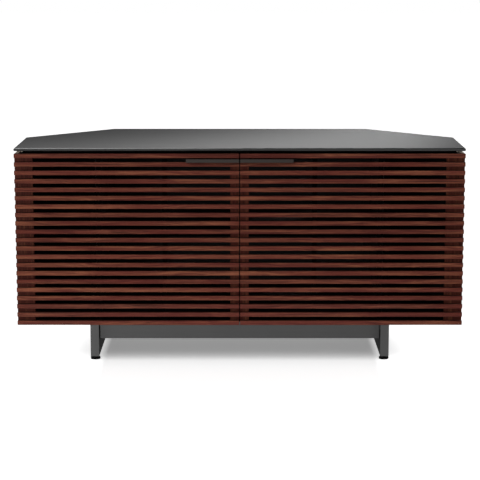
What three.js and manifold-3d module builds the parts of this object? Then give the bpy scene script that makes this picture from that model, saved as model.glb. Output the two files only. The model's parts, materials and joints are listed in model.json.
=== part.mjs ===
// Corner TV cabinet: two slatted doors under a bevelled glass top, on a low metal base.
// Millimetres, +Z up. The doors face -Y, and +X is to the right of someone who faces them.
// The origin is on the floor, in the middle of the width and of the depth with the pulls.

import * as THREE from "three";
import { mergeVertices } from "three/addons/utils/BufferGeometryUtils.js";
import Module from "manifold-3d";

// Whole cabinet
const WIDTH = 1430;
const DEPTH = 584;
const HEIGHT = 711;
const CORNER_CUT = 275;

// Gap between pieces that are glued, screwed or laid on each other
const FIT = 0.25;

// Glass top and the black board under it
const GLASS_THICKNESS = 9.5;
const GLASS_BEVEL = 2.5;
const GLASS_GAP = 8.25;
const RISER_INSET = 25;
const RISER_FRONT_INSET = 3;

// Carcass boards
const BOARD = 18;
const BACK_BOARD = 12;
const MITRE_GAP = 0.25;

// Doors: slats in front of a frame, as many as fill the height above the base
const DOOR_ABOVE_FLOOR = 139;
const SLAT_PITCH = 27;
const SLAT_HEIGHT = 14.25;
const SLAT_DEPTH = 15;
const FRAME_THICKNESS = 19;
const OUTER_STILE = 57;
const MEETING_STILE = 28;
const DOOR_GAP = 3;
const DOOR_REVEAL = 3;
const BATTEN_WIDTH = 14;
const BATTEN_DEPTH = 12;
const BATTEN_LET_IN = 1;
const BATTEN_PLACE_SHARES = [1 / 3, 2 / 3];

// Folded steel pulls
const PULL_LENGTH = 168;
const PULL_REACH = 14;
const PULL_SHEET = 2;
const PULL_LIP = 11;
const PULL_FLANGE = 9;
const PULL_END_INSET = 0.5;

// Pivot hinges at the outer corners of the doors
const PIVOT_INSET = 7.5;
const PIVOT_AHEAD = 10;
const PIVOT_SHEET = 2.5;
const PIVOT_WIDTH = 12;
const PIVOT_ARM_SEAT = 45;
const PIVOT_PLATE_LENGTH = 48;
const PIVOT_PIN = 5;
const PIVOT_BORE = 5.5;
const PIVOT_SHY = 0.5;
const PIVOT_RUNNING_GAP = 0.25;
const PIVOT_PLATE_MARGIN = 1.5;

// Magnetic catches
const MAGNET_WIDTH = 22;
const MAGNET_DEPTH = 14;
const MAGNET_HEIGHT = 12;
const MAGNET_GAP = 0.5;
const STRIKE_SHEET = 1.25;
const STRIKE_WIDTH = 20;
const STRIKE_HEIGHT = 18;

// Shelves and their pins
const SHELF_SETBACK = 20;
const SHELF_CABLE_GAP = 30;
const PIN_RADIUS = 2.5;
const PIN_BORE_RADIUS = 2.8;
const PIN_BORE_DEPTH = 8;
const PIN_IN_BORE = 7.5;
const PIN_COLLAR_RADIUS = 4;
const PIN_COLLAR = 1.5;
const PIN_REACH = 10;
const PIN_FROM_FRONT = 60;
const PIN_FROM_SIDE_END = 47;
const PIN_FROM_PARTITION_END = 131;
const PIN_ROW_COUNT = 5;
const PIN_ROW_PITCH = 32;

// Openings for cables
const CABLE_NOTCH_HEIGHT = 60;
const CABLE_NOTCH_DEPTH = 90;
const CABLE_SLOT_WIDTH = 140;
const CABLE_SLOT_HEIGHT = 40;
const CABLE_SLOT_FROM_MIDDLE = 220;
const CABLE_SLOT_BELOW_TOP = 32;
const CABLE_SLOT_BELOW_SHELF = 37;

// Metal base
const LEG_INSET = 226;
const LEG_WIDTH = 28;
const LEG_SETBACK = 90;
const LEG_LENGTH = 400;
const LEG_UPRIGHT = 50;
const LEG_LOWER = 50;
const LEG_UPPER = 25;
const LEG_ABOVE_FLOOR = 13.5;
const BEAM_ABOVE_FLOOR = 61.5;
const BEAM_SETBACK = 53;
const BEAM_DEPTH = 20;
const BEAM_WALL = 2;

// Levelling feet
const FOOT_RADIUS = 16;
const FOOT_EDGE = 1;
const FOOT_RIM = 7;
const FOOT_CONE_TOP = 10.5;
const FOOT_CONE_RADIUS = 8;
const STEM_RADIUS = 5;
const STEM_BORE_RADIUS = 5.25;
const STEM_LENGTH = 45;
const STEM_BORE_DEPTH = 34;

// Smoothness of round pieces
const PIN_SIDES = 12;
const STEM_SIDES = 20;
const FOOT_SIDES = 32;
const PIVOT_SIDES = 24;
const SLOT_END_SIDES = 6;

// How far a cutter runs past the face that it opens
const CUT_OVERRUN = 1;

// Places that follow from the sizes, with y counted from the front of the doors
const half = WIDTH / 2;
const sideDepth = DEPTH - CORNER_CUT;
const glassBottom = HEIGHT - GLASS_THICKNESS;
const doorTop = glassBottom - GLASS_GAP;
const slatCount = Math.round((doorTop - DOOR_ABOVE_FLOOR - SLAT_HEIGHT) / SLAT_PITCH) + 1;
const doorHeight = (slatCount - 1) * SLAT_PITCH + SLAT_HEIGHT;
const doorBottom = doorTop - doorHeight;
const doorThickness = SLAT_DEPTH + FRAME_THICKNESS;
const carcassFront = doorThickness + DOOR_REVEAL;
const pivotStep = PIVOT_SHY + PIVOT_SHEET + FIT;
const carcassTop = doorTop - pivotStep;
const carcassBottom = doorBottom + pivotStep;
const stileRecess = pivotStep + PIVOT_RUNNING_GAP + PIVOT_SHEET;
const insideTop = carcassTop - BOARD;
const insideBottom = carcassBottom + BOARD;
const legOuter = half - LEG_INSET;
const legInner = legOuter - LEG_WIDTH;
const partitionOuter = legInner + BOARD;
const pivotX = half - PIVOT_INSET;
const pivotY = doorThickness - PIVOT_AHEAD;
const pinZ = (insideTop + insideBottom) / 2;
const shelfBottom = pinZ + PIN_RADIUS + FIT;
const shelfEndGap = FIT + PIN_COLLAR + FIT;
const doorFrontY = PULL_REACH - (DEPTH + PULL_REACH) / 2;

// Materials
const finish = (color, roughness, metalness) =>
  new THREE.MeshStandardMaterial({ color, roughness, metalness });
const WALNUT = finish(0x69392c, 0.5, 0);
const BLACK_BOARD = finish(0x141312, 0.6, 0);
const ETCHED_GLASS = finish(0x6e6e6e, 0.45, 0);
const POWDER_COAT = finish(0x4c4b49, 0.5, 0.3);
const STEEL = finish(0x8c8c8c, 0.35, 1);
const BLACK_PLASTIC = finish(0x1c1c1c, 0.6, 0);

// Helpers: pairs are [low, high], and side is -1 on the left and 1 on the right
const wasm = await Module();
wasm.setup();

const cabinet = new THREE.Group();
cabinet.position.y = doorFrontY;

const middle = ([low, high]) => (low + high) / 2;
const onSide = (side, a, b) => (side > 0 ? [a, b] : [-b, -a]);
const sideName = (side) => (side > 0 ? "right" : "left");

function addMesh(parent, name, geometry, material) {
  const mesh = new THREE.Mesh(geometry, material);
  mesh.name = name;
  parent.add(mesh);
  return mesh;
}

function boxGeometry(x, y, z) {
  const sizes = [x, y, z].map(([low, high]) => high - low);
  return new THREE.BoxGeometry(...sizes).translate(middle(x), middle(y), middle(z));
}

// A flat outline of [x, y] points, raised between two heights
function prism(points, z) {
  const shape = new THREE.Shape(points.map(([px, py]) => new THREE.Vector2(px, py)));
  const depth = z[1] - z[0];
  return new THREE.ExtrudeGeometry(shape, { depth, bevelEnabled: false }).translate(0, 0, z[0]);
}

// A section of [y, z] points, with any holes, run along X
const X_AXIS = new THREE.Vector3(1, 0, 0);
const Y_AXIS = new THREE.Vector3(0, 1, 0);
const Z_AXIS = new THREE.Vector3(0, 0, 1);
const sectionToX = new THREE.Matrix4().makeBasis(Y_AXIS, Z_AXIS, X_AXIS);

function alongX(points, x, holes = []) {
  const toVectors = (list) => list.map(([py, pz]) => new THREE.Vector2(py, pz));
  const shape = new THREE.Shape(toVectors(points));
  shape.holes = holes.map((hole) => new THREE.Path(toVectors(hole)));
  const run = new THREE.ExtrudeGeometry(shape, { depth: x[1] - x[0], bevelEnabled: false });
  return run.applyMatrix4(sectionToX).translate(x[0], 0, 0);
}

// A turned piece from [radius, place] points, standing along Z or lying along X
const latheToZ = new THREE.Matrix4().makeBasis(Y_AXIS, Z_AXIS, X_AXIS);
const latheToX = new THREE.Matrix4().makeBasis(Z_AXIS, X_AXIS, Y_AXIS);

function turned(points, sides, matrix) {
  const profile = points.map(([radius, place]) => new THREE.Vector2(radius, place));
  return new THREE.LatheGeometry(profile, sides).applyMatrix4(matrix);
}

const rod = (radius, from, to, sides, matrix) =>
  turned([[0, from], [radius, from], [radius, to], [0, to]], sides, matrix);

function toSolid(geometry) {
  const bare = geometry.clone();
  bare.deleteAttribute("normal");
  bare.deleteAttribute("uv");
  const merged = mergeVertices(bare);
  return new wasm.Manifold(
    new wasm.Mesh({
      numProp: 3,
      vertProperties: merged.attributes.position.array,
      triVerts: new Uint32Array(merged.index.array),
    }),
  );
}

function toGeometry(solid) {
  const mesh = solid.getMesh();
  const geometry = new THREE.BufferGeometry();
  geometry.setAttribute("position", new THREE.BufferAttribute(mesh.vertProperties, mesh.numProp));
  geometry.setIndex(new THREE.BufferAttribute(mesh.triVerts, 1));
  geometry.computeVertexNormals();
  return geometry;
}

const cut = (geometry, tools) =>
  toGeometry(tools.reduce((solid, tool) => solid.subtract(toSolid(tool)), toSolid(geometry)));

const join = (geometries) =>
  toGeometry(geometries.map(toSolid).reduce((solid, next) => solid.add(next)));

// Plans of the cabinet, whose back corners are cut at 45 degrees. An inset is measured square to
// the back walls, and x plus y is the same all along a diagonal
const cutSum = (inset) => half + sideDepth - inset * Math.SQRT2;
const backCornerX = (inset) => cutSum(inset) - (DEPTH - inset);
const backAt = (x, inset) => Math.min(DEPTH - inset, cutSum(inset) - Math.abs(x));

// A board between two x places, from a front line back to the walls
function planOutline([left, right], front, backInset) {
  const corners = [backCornerX(backInset), -backCornerX(backInset)];
  const turns = corners.filter((x) => x > left && x < right);
  return [
    [left, front],
    [right, front],
    ...[right, ...turns, left].map((x) => [x, backAt(x, backInset)]),
  ];
}

// The corners of the carcass walls on the right, outside or inside
function wallCorners(sideInset, backInset) {
  const x = half - sideInset;
  return {
    front: [x, carcassFront],
    side: [x, backAt(x, backInset)],
    back: [backCornerX(backInset), DEPTH - backInset],
  };
}

const acrossTo = (x) => [-x, x];

// Glass top and the board that carries it
function addTop() {
  const outline = planOutline(acrossTo(half), 0, 0);
  const shape = new THREE.Shape(outline.map(([x, y]) => new THREE.Vector2(x, y)));
  const glass = new THREE.ExtrudeGeometry(shape, {
    depth: GLASS_THICKNESS - 2 * GLASS_BEVEL,
    bevelThickness: GLASS_BEVEL,
    bevelSize: GLASS_BEVEL,
    bevelOffset: -GLASS_BEVEL,
    bevelSegments: 1,
  });
  glass.translate(0, 0, glassBottom + GLASS_BEVEL);
  addMesh(cabinet, "glass_top", glass, ETCHED_GLASS);

  const riserX = acrossTo(half - RISER_INSET);
  const riserPlan = planOutline(riserX, carcassFront + RISER_FRONT_INSET, RISER_INSET);
  const riserHeights = [carcassTop + FIT, glassBottom - FIT];
  addMesh(cabinet, "riser_board", prism(riserPlan, riserHeights), BLACK_BOARD);
}

// Bores for shelf pins, in one row up a board: they run from the face at x into the board,
// which lies outwards of that face, or inwards of it
function pinRowCuts(side, faceX, outwards, y) {
  const bottomZ = pinZ - ((PIN_ROW_COUNT - 1) / 2) * PIN_ROW_PITCH;
  const mouth = faceX - outwards * CUT_OVERRUN;
  const end = faceX + outwards * PIN_BORE_DEPTH;
  const [from, to] = onSide(side, Math.min(mouth, end), Math.max(mouth, end));
  return Array.from({ length: PIN_ROW_COUNT }, (_, row) =>
    rod(PIN_BORE_RADIUS, from, to, PIN_SIDES, latheToX).translate(
      0,
      y,
      bottomZ + row * PIN_ROW_PITCH,
    ),
  );
}

const frontRowY = carcassFront + PIN_FROM_FRONT;
const sideRearRowY = sideDepth - PIN_FROM_SIDE_END;
const deepRearRowY = backAt(partitionOuter, BACK_BOARD) - PIN_FROM_PARTITION_END;

// The outer wall of the carcass: boards mitred to each other between the outer and inner outlines
function wallOutline(outerFrom, outerTo, innerFrom, innerTo, trimFrom, trimTo) {
  const length = Math.hypot(outerTo[0] - outerFrom[0], outerTo[1] - outerFrom[1]);
  const along = [(outerTo[0] - outerFrom[0]) / length, (outerTo[1] - outerFrom[1]) / length];
  const move = (point, by) => [point[0] + along[0] * by, point[1] + along[1] * by];
  return [
    move(outerFrom, trimFrom),
    move(outerTo, -trimTo),
    move(innerTo, -trimTo),
    move(innerFrom, trimFrom),
  ];
}

const mirrorPlan = (side, points) => points.map(([x, y]) => [x * side, y]);

const outerCorners = wallCorners(0, 0);
const innerCorners = wallCorners(BOARD, BACK_BOARD);
const wallHeights = [carcassBottom, carcassTop];

function addWalls(side) {
  const name = sideName(side);
  const sidePlan = wallOutline(
    outerCorners.front,
    outerCorners.side,
    innerCorners.front,
    innerCorners.side,
    0,
    MITRE_GAP,
  );
  const sideBoard = prism(mirrorPlan(side, sidePlan), wallHeights);
  const pinBores = [frontRowY, sideRearRowY].flatMap((y) =>
    pinRowCuts(side, half - BOARD, 1, y),
  );
  addMesh(cabinet, `${name}_side_panel`, cut(sideBoard, pinBores), WALNUT);

  const diagonalPlan = wallOutline(
    outerCorners.side,
    outerCorners.back,
    innerCorners.side,
    innerCorners.back,
    MITRE_GAP,
    MITRE_GAP,
  );
  const diagonal = prism(mirrorPlan(side, diagonalPlan), wallHeights);
  addMesh(cabinet, `${name}_diagonal_back`, diagonal, BLACK_BOARD);
}

// A slot with round ends through the back board
function cableSlotCut(x, z) {
  const radius = CABLE_SLOT_HEIGHT / 2;
  const straight = CABLE_SLOT_WIDTH / 2 - radius;
  const slot = new THREE.Shape();
  slot.absarc(straight, 0, radius, -Math.PI / 2, Math.PI / 2);
  slot.absarc(-straight, 0, radius, Math.PI / 2, (3 * Math.PI) / 2);
  const depth = BACK_BOARD + 2 * CUT_OVERRUN;
  const cutter = new THREE.ExtrudeGeometry(slot, {
    depth,
    bevelEnabled: false,
    curveSegments: SLOT_END_SIDES,
  });
  cutter.rotateX(Math.PI / 2);
  return cutter.translate(x, DEPTH + CUT_OVERRUN, z);
}

function addBackPanel() {
  const plan = wallOutline(
    outerCorners.back,
    [-outerCorners.back[0], outerCorners.back[1]],
    innerCorners.back,
    [-innerCorners.back[0], innerCorners.back[1]],
    MITRE_GAP,
    MITRE_GAP,
  );
  const heights = [shelfBottom - CABLE_SLOT_BELOW_SHELF, insideTop - CABLE_SLOT_BELOW_TOP];
  const slots = [-1, 1].flatMap((side) =>
    heights.map((z) => cableSlotCut(side * CABLE_SLOT_FROM_MIDDLE, z)),
  );
  addMesh(cabinet, "back_panel", cut(prism(plan, wallHeights), slots), BLACK_BOARD);
}

// Boards inside the walls
function addInsideBoards() {
  const plan = planOutline(acrossTo(half - BOARD - FIT), carcassFront, BACK_BOARD + FIT);
  addMesh(cabinet, "top_panel", prism(plan, [insideTop, carcassTop]), BLACK_BOARD);
  addMesh(cabinet, "bottom_panel", prism(plan, [carcassBottom, insideBottom]), BLACK_BOARD);
}

function addPartition(side) {
  const x = onSide(side, legInner, partitionOuter);
  const plan = planOutline(x, carcassFront, BACK_BOARD + FIT);
  const board = prism(plan, [insideBottom + FIT, insideTop - FIT]);
  const rows = [frontRowY, deepRearRowY];
  const bores = rows.flatMap((y) => [
    ...pinRowCuts(side, legInner, 1, y),
    ...pinRowCuts(side, partitionOuter, -1, y),
  ]);
  const backY = backAt(legInner, 0);
  const notch = boxGeometry(
    onSide(side, legInner - CUT_OVERRUN, partitionOuter + CUT_OVERRUN),
    [backY - BACK_BOARD - CABLE_NOTCH_DEPTH, backY],
    [insideBottom - CUT_OVERRUN, insideBottom + CABLE_NOTCH_HEIGHT],
  );
  addMesh(cabinet, `${sideName(side)}_partition`, cut(board, [...bores, notch]), BLACK_BOARD);
}

// A pin along X with a collar against the board face at x, pointing towards or away from the middle
const pinProfile = [
  [0, -PIN_IN_BORE],
  [PIN_RADIUS, -PIN_IN_BORE],
  [PIN_RADIUS, FIT],
  [PIN_COLLAR_RADIUS, FIT],
  [PIN_COLLAR_RADIUS, FIT + PIN_COLLAR],
  [PIN_RADIUS, FIT + PIN_COLLAR],
  [PIN_RADIUS, PIN_REACH],
  [0, PIN_REACH],
];

function addPin(name, x, direction, y) {
  const pin = turned(pinProfile, PIN_SIDES, latheToX);
  if (direction < 0) pin.rotateZ(Math.PI);
  addMesh(cabinet, name, pin.translate(x, y, pinZ), STEEL);
}

function addShelves() {
  const heights = [shelfBottom, shelfBottom + BOARD];
  const front = carcassFront + SHELF_SETBACK;
  const backGap = BACK_BOARD + SHELF_CABLE_GAP;
  const centrePlan = planOutline(acrossTo(legInner - shelfEndGap), front, backGap);
  addMesh(cabinet, "centre_shelf", prism(centrePlan, heights), BLACK_BOARD);
  for (const side of [-1, 1]) {
    const name = sideName(side);
    const shelfX = onSide(side, partitionOuter + shelfEndGap, half - BOARD - shelfEndGap);
    const plan = planOutline(shelfX, front, backGap);
    addMesh(cabinet, `${name}_shelf`, prism(plan, heights), BLACK_BOARD);
    const pins = [
      ["front_outer", half - BOARD, -1, frontRowY],
      ["rear_outer", half - BOARD, -1, sideRearRowY],
      ["front_inner", partitionOuter, 1, frontRowY],
      ["rear_inner", partitionOuter, 1, deepRearRowY],
    ];
    for (const [place, x, direction, y] of pins) {
      addPin(`${name}_shelf_pin_${place}`, side * x, side * direction, y);
    }
    addPin(`centre_shelf_pin_front_${name}`, side * legInner, -side, frontRowY);
    addPin(`centre_shelf_pin_rear_${name}`, side * legInner, -side, deepRearRowY);
  }
}

// Base: a closed loop under each partition, joined by two folded beams
const legFrontY = LEG_SETBACK;
const legRearY = LEG_SETBACK + LEG_LENGTH;
const legTop = carcassBottom - FIT;
const footRows = [
  ["front", legFrontY + LEG_UPRIGHT / 2],
  ["rear", legRearY - LEG_UPRIGHT / 2],
];
const legMiddleX = legOuter - LEG_WIDTH / 2;

function rectangle(y, z) {
  return [
    [y[0], z[0]],
    [y[1], z[0]],
    [y[1], z[1]],
    [y[0], z[1]],
  ];
}

function addLeg(side) {
  const outer = rectangle([legFrontY, legRearY], [LEG_ABOVE_FLOOR, legTop]);
  const inner = rectangle(
    [legFrontY + LEG_UPRIGHT, legRearY - LEG_UPRIGHT],
    [LEG_ABOVE_FLOOR + LEG_LOWER, legTop - LEG_UPPER],
  );
  const loop = alongX(outer, onSide(side, legInner, legOuter), [inner]);
  const bores = footRows.map(([, y]) =>
    rod(
      STEM_BORE_RADIUS,
      LEG_ABOVE_FLOOR - CUT_OVERRUN,
      LEG_ABOVE_FLOOR + STEM_BORE_DEPTH,
      STEM_SIDES,
      latheToZ,
    ).translate(side * legMiddleX, y, 0),
  );
  addMesh(cabinet, `${sideName(side)}_leg_frame`, cut(loop, bores), POWDER_COAT);
}

function addFoot(side, place, y) {
  const profile = [
    [0, 0],
    [FOOT_RADIUS - FOOT_EDGE, 0],
    [FOOT_RADIUS, FOOT_EDGE],
    [FOOT_RADIUS, FOOT_RIM],
    [FOOT_CONE_RADIUS, FOOT_CONE_TOP],
    [STEM_RADIUS, FOOT_CONE_TOP],
    [STEM_RADIUS, STEM_LENGTH],
    [0, STEM_LENGTH],
  ];
  const foot = turned(profile, FOOT_SIDES, latheToZ).translate(side * legMiddleX, y, 0);
  addMesh(cabinet, `${sideName(side)}_${place}_foot`, foot, BLACK_PLASTIC);
}

// A channel on edge, with its open side turned to the middle of the base
function addBeam(name, outerY, inwards) {
  const innerY = outerY + inwards * BEAM_DEPTH;
  const webY = outerY + inwards * BEAM_WALL;
  const section = [
    [outerY, BEAM_ABOVE_FLOOR],
    [innerY, BEAM_ABOVE_FLOOR],
    [innerY, BEAM_ABOVE_FLOOR + BEAM_WALL],
    [webY, BEAM_ABOVE_FLOOR + BEAM_WALL],
    [webY, legTop - BEAM_WALL],
    [innerY, legTop - BEAM_WALL],
    [innerY, legTop],
    [outerY, legTop],
  ];
  const x = [-legInner + FIT, legInner - FIT];
  addMesh(cabinet, name, alongX(section, x), POWDER_COAT);
}

// Doors, with x counted from the middle of the cabinet to the outer edge
const doorX = [DOOR_GAP / 2, half];
const openingX = [doorX[0] + MEETING_STILE, half - OUTER_STILE];
const frameY = [SLAT_DEPTH + FIT, doorThickness];

function addDoorFrame(side, door) {
  const name = sideName(side);
  addMesh(
    door,
    `${name}_outer_stile`,
    boxGeometry(onSide(side, openingX[1], half), frameY, [
      doorBottom + stileRecess + FIT,
      doorTop - stileRecess - FIT,
    ]),
    WALNUT,
  );
  addMesh(
    door,
    `${name}_meeting_stile`,
    boxGeometry(onSide(side, doorX[0], openingX[0]), frameY, [doorBottom, doorTop]),
    WALNUT,
  );
  addMesh(door, `${name}_top_rail`, railGeometry(side, doorTop), WALNUT);
  addMesh(door, `${name}_bottom_rail`, railGeometry(side, doorBottom + SLAT_HEIGHT), WALNUT);
}

const slatGeometry = (side, top) =>
  boxGeometry(onSide(side, ...doorX), [0, SLAT_DEPTH], [top - SLAT_HEIGHT, top]);

// A rail between the stiles whose front edge is itself the first or the last slat
function railGeometry(side, top) {
  const railX = onSide(side, openingX[0] + FIT, openingX[1] - FIT);
  const railY = [SLAT_DEPTH - BATTEN_LET_IN, doorThickness];
  return join([slatGeometry(side, top), boxGeometry(railX, railY, [top - SLAT_HEIGHT, top])]);
}

// The slats between the rails, let on to two black battens that carry them from behind
function addSlats(side, door) {
  const slats = Array.from({ length: slatCount - 2 }, (_, row) =>
    slatGeometry(side, doorTop - (row + 1) * SLAT_PITCH),
  );
  const battens = BATTEN_PLACE_SHARES.map((share) => {
    const x = openingX[0] + share * (openingX[1] - openingX[0]);
    return boxGeometry(
      onSide(side, x - BATTEN_WIDTH / 2, x + BATTEN_WIDTH / 2),
      [SLAT_DEPTH - BATTEN_LET_IN, SLAT_DEPTH + BATTEN_DEPTH],
      [doorBottom + SLAT_HEIGHT + FIT, doorTop - SLAT_HEIGHT - FIT],
    );
  });
  addMesh(door, `${sideName(side)}_slats`, join([...slats, ...battens]), WALNUT);
}

// A pull in the gap under the first slat: a flange on the frame, a sill over the second slat
// and a lip in front to hook the fingers behind
function addPull(side, door) {
  const sillBottom = doorTop - SLAT_PITCH + FIT;
  const sillTop = sillBottom + PULL_SHEET;
  const lipY = -PULL_REACH;
  const section = [
    [lipY, sillBottom],
    [SLAT_DEPTH, sillBottom],
    [SLAT_DEPTH, sillBottom + PULL_FLANGE],
    [SLAT_DEPTH - PULL_SHEET, sillBottom + PULL_FLANGE],
    [SLAT_DEPTH - PULL_SHEET, sillTop],
    [lipY + PULL_SHEET, sillTop],
    [lipY + PULL_SHEET, sillBottom + PULL_LIP],
    [lipY, sillBottom + PULL_LIP],
  ];
  const start = doorX[0] + PULL_END_INSET;
  const pull = alongX(section, onSide(side, start, start + PULL_LENGTH));
  addMesh(door, `${sideName(side)}_pull`, pull, POWDER_COAT);
}

// Pivot hinges: an arm with a pin on the end of the side panel, and a bored plate on the stile
function addPivots(side, door) {
  const name = sideName(side);
  const armX = onSide(side, pivotX - PIVOT_WIDTH / 2, pivotX + PIVOT_WIDTH / 2);
  const plateX = onSide(side, half - PIVOT_PLATE_LENGTH, half - PIVOT_PLATE_MARGIN);
  const plateY = [pivotY - PIVOT_WIDTH / 2, pivotY + PIVOT_WIDTH / 2];
  const plateDepth = PIVOT_SHY + PIVOT_SHEET + PIVOT_RUNNING_GAP;
  for (const [end, outward, doorEnd] of [
    ["top", 1, doorTop],
    ["bottom", -1, doorBottom],
  ]) {
    const level = (depth) => doorEnd - outward * depth;
    const layer = (from, to) => [level(from), level(to)].sort((a, b) => a - b);
    const armLayer = layer(PIVOT_SHY, PIVOT_SHY + PIVOT_SHEET);
    const arm = join([
      boxGeometry(armX, [pivotY, carcassFront + PIVOT_ARM_SEAT], armLayer),
      rod(PIVOT_WIDTH / 2, ...armLayer, PIVOT_SIDES, latheToZ).translate(side * pivotX, pivotY, 0),
      rod(
        PIVOT_PIN / 2,
        ...layer(PIVOT_SHY, plateDepth + PIVOT_SHEET),
        PIVOT_SIDES,
        latheToZ,
      ).translate(side * pivotX, pivotY, 0),
    ]);
    addMesh(cabinet, `${name}_${end}_pivot_arm`, arm, STEEL);

    const plateLayer = layer(plateDepth, plateDepth + PIVOT_SHEET);
    const bore = rod(
      PIVOT_BORE / 2,
      plateLayer[0] - CUT_OVERRUN,
      plateLayer[1] + CUT_OVERRUN,
      PIVOT_SIDES,
      latheToZ,
    ).translate(side * pivotX, pivotY, 0);
    const plate = cut(boxGeometry(plateX, plateY, plateLayer), [bore]);
    addMesh(door, `${name}_${end}_pivot_plate`, plate, STEEL);
  }
}

// A magnet under the top panel, and the steel plate that it holds on the meeting stile
function addCatch(side, door) {
  const name = sideName(side);
  const stileX = doorX[0] + MEETING_STILE / 2;
  const plateY = [doorThickness + FIT, doorThickness + FIT + STRIKE_SHEET];
  const magnetTop = insideTop - FIT;
  const magnetMiddle = magnetTop - MAGNET_HEIGHT / 2;
  const magnet = boxGeometry(
    onSide(side, stileX - MAGNET_WIDTH / 2, stileX + MAGNET_WIDTH / 2),
    [plateY[1] + MAGNET_GAP, plateY[1] + MAGNET_GAP + MAGNET_DEPTH],
    [magnetTop - MAGNET_HEIGHT, magnetTop],
  );
  addMesh(cabinet, `${name}_magnet_catch`, magnet, BLACK_PLASTIC);
  const strike = boxGeometry(
    onSide(side, stileX - STRIKE_WIDTH / 2, stileX + STRIKE_WIDTH / 2),
    plateY,
    [magnetMiddle - STRIKE_HEIGHT / 2, magnetMiddle + STRIKE_HEIGHT / 2],
  );
  addMesh(door, `${name}_strike_plate`, strike, STEEL);
}

addTop();
addInsideBoards();
addBackPanel();
addShelves();
addBeam("front_beam", legFrontY + BEAM_SETBACK, 1);
addBeam("rear_beam", legRearY - BEAM_SETBACK, -1);
for (const side of [-1, 1]) {
  addWalls(side);
  addPartition(side);
  addLeg(side);
  for (const [place, y] of footRows) addFoot(side, place, y);
  const door = new THREE.Group();
  cabinet.add(door);
  addDoorFrame(side, door);
  addSlats(side, door);
  addPull(side, door);
  addPivots(side, door);
  addCatch(side, door);
}

export default cabinet;
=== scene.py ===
# %% [markdown]
# # A corner TV cabinet in walnut, black glass and powder-coated steel
# The construction comes in as fixed boards, slats and brackets at their real size. This lesson
# gives them what a workshop gives the real ones: eased edges, stained veneer with its grain,
# an etched top with a polished bevel, screws, threads, and a plain white studio.

import json
import math

import bmesh
import bpy
from mathutils import Matrix, Quaternion, Vector

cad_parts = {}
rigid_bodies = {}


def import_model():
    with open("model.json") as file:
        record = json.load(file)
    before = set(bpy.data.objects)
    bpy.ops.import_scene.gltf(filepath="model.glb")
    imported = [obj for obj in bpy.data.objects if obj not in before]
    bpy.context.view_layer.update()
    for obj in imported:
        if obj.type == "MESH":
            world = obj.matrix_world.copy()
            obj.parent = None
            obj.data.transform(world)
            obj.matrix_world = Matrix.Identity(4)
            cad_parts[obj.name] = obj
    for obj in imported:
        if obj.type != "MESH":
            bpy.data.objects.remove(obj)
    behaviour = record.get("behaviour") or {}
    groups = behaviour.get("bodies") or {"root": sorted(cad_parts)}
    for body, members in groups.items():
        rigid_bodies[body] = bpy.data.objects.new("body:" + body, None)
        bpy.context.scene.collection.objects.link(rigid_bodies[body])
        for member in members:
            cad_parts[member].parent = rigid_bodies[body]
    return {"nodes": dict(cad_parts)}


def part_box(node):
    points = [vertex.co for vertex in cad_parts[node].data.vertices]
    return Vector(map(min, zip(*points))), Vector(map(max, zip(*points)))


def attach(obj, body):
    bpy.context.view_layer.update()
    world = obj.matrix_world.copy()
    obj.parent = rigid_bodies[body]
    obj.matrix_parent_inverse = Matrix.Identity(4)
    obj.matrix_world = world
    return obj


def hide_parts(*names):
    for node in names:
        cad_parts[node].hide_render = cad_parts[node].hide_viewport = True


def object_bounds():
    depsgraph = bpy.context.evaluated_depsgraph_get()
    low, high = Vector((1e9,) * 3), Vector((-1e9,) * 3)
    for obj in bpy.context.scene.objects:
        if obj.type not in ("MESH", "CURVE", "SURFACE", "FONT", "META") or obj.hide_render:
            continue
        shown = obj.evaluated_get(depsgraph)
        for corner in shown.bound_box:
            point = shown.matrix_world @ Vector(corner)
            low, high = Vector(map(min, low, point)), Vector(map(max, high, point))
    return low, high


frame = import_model()
cad_low, cad_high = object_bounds()
OUTWARD = {"left": -1, "right": 1}
MM = 0.001
BOARD_FIT = 0.25 * MM


def span(low, high):
    return high - low


def door_box(side, piece):
    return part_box(f"{side}_{piece}")


# %% [markdown]
# ## Camera
# A lens close by would draw the slats' lines together and show the top as a wide wedge. A long
# one stands a good five metres away and a little above the top, so the slats run level and the
# top shows as a narrow band. Its distance is counted from the doors' front and its height from
# the glass, so it keeps its view if the cabinet's size changes.

# %% Camera
CAMERA_LENS_MM = 124.4
SENSOR_MM = 36.0
CAMERA_FROM_DOORS = 5.2105
CAMERA_ABOVE_TOP = 0.615
CAMERA_TO_RIGHT = 0.00105
CAMERA_PITCH = math.radians(9.898)
QUARTER_TURN = math.radians(90)

doors_front = door_box("left", "slats")[0].y
glass_low, glass_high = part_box("glass_top")

camera_data = bpy.data.cameras.new("camera")
camera_data.lens = CAMERA_LENS_MM
camera_data.sensor_width = SENSOR_MM
camera = bpy.data.objects.new("camera", camera_data)
camera_y = doors_front - CAMERA_FROM_DOORS
camera.location = (CAMERA_TO_RIGHT, camera_y, glass_high.z + CAMERA_ABOVE_TOP)
camera.rotation_euler = (QUARTER_TURN - CAMERA_PITCH, 0, 0)
bpy.context.scene.collection.objects.link(camera)
bpy.context.scene.camera = camera
bpy.context.scene.view_settings.view_transform = "Standard"
print("camera at", [round(v, 3) for v in camera.location])


# %% [markdown]
# ## Small helpers for node trees
# Shaders and geometry trees are both graphs. They could be wired by hand in the editor, but
# then nothing of them could be read here. One function makes a node, sets its options and fills
# its sockets with plain values or with the output of another node, so a tree reads from top to
# bottom like a recipe.

# %% Node helpers
def make(tree, kind, inputs=None, **options):
    node = tree.nodes.new(kind)
    for name, value in options.items():
        setattr(node, name, value)
    for name, value in (inputs or {}).items():
        socket = node.inputs[name]
        if isinstance(value, bpy.types.NodeSocket):
            tree.links.new(value, socket)
        else:
            socket.default_value = value
    return node


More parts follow.
